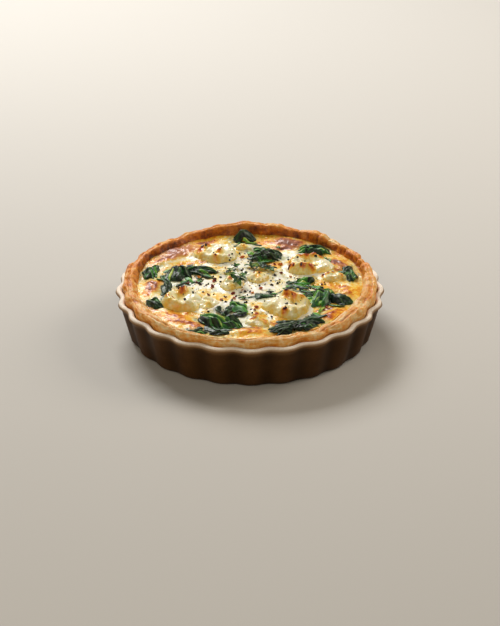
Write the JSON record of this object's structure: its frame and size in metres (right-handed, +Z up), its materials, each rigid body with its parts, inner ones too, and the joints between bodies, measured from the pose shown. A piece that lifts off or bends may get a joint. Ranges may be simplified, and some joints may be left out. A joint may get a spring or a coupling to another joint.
{
  "type": "spinach quiche in a fluted dish",
  "caption": "Round single-serving quiche in a fluted stoneware dish: pastry case, custard, soft goat's cheese, wilted spinach and thyme on top",
  "frame": {"origin": "centre of the dish's foot, on the surface it stands on", "axes": "+Z up; the quiche's front is towards -Y; +X to its right seen from the front"},
  "size_m": [0.1398, 0.1398, 0.0326],
  "materials": {
    "dish": "satin taupe glaze, paler on the lip",
    "crust": "baked shortcrust, matt, golden to brown",
    "custard": "set egg custard, glossy, browned in patches",
    "cheese": "soft goat's cheese, satin, golden at its peaks",
    "spinach": "wilted dark green leaf with a moist sheen",
    "thyme": "small green leaves, satin"
  },
  "bodies": {
    "root": {"dish": "dish", "crust": "crust", "custard": "custard", "cheese_back_left": "cheese", "cheese_back_right": "cheese", "cheese_right": "cheese", "cheese_left": "cheese", "cheese_left_tail": "cheese", "cheese_front_right": "cheese", "cheese_middle_left": "cheese", "cheese_middle": "cheese", "cheese_front": "cheese", "cheese_front_middle": "cheese", "cheese_back": "cheese", "spinach_left_fold": "spinach", "spinach_left_strip": "spinach", "spinach_left_back": "spinach", "spinach_left_edge": "spinach", "spinach_front_left": "spinach", "spinach_front_edge": "spinach", "spinach_front_strand": "spinach", "spinach_middle": "spinach", "spinach_centre": "spinach", "spinach_front_right": "spinach", "spinach_right": "spinach", "spinach_right_stalk": "spinach", "spinach_right_curl": "spinach", "spinach_right_edge": "spinach", "spinach_back_right": "spinach", "spinach_back_middle": "spinach", "spinach_back_edge": "spinach", "thyme_left": "thyme", "thyme_front": "thyme", "thyme_right": "thyme"}
  },
  "joints": []
}
